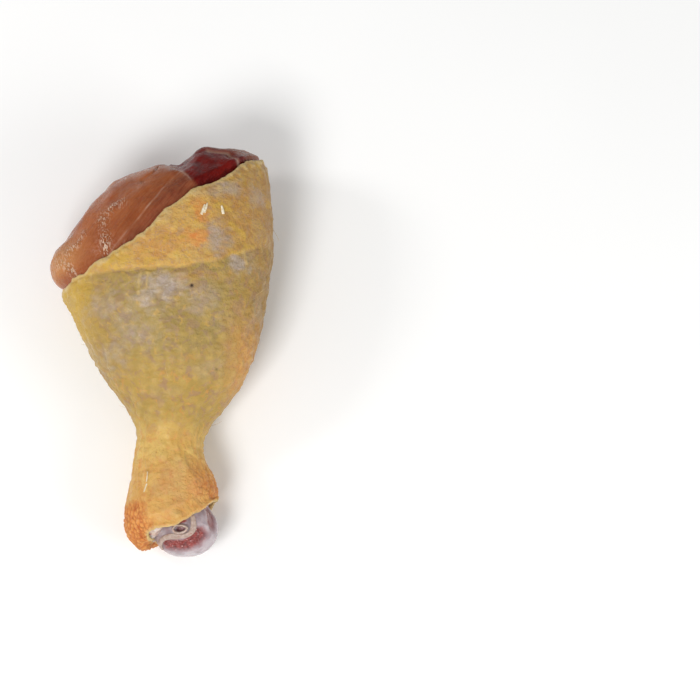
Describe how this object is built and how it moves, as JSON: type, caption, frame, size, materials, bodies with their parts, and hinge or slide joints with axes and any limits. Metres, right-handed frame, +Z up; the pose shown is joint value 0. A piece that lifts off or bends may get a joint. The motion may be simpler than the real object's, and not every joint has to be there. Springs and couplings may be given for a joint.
{
  "type": "raw chicken drumstick",
  "caption": "Raw chicken drumstick in pale yellow skin, lying on its flank, with bare meat bulging at the thick end and white hock gristle at the thin end.",
  "frame": {"origin": "middle of the underside of the whole leg's box, on the surface that it lies on", "axes": "+Y along the leg from the hock to the knee, +X towards the side away from the calf muscle, +Z up"},
  "size_m": [0.0662, 0.1236, 0.0469],
  "materials": {
    "skin": "raw, moist, finely pimpled",
    "meat": "raw, wet",
    "gristle": "wet, slightly see-through",
    "sinew": "wet"
  },
  "bodies": {
    "root": {"skin": "skin", "meat": "meat", "shin_bone": "gristle", "hock_tendon": "sinew", "tendon_sheath": "sinew"}
  },
  "joints": []
}
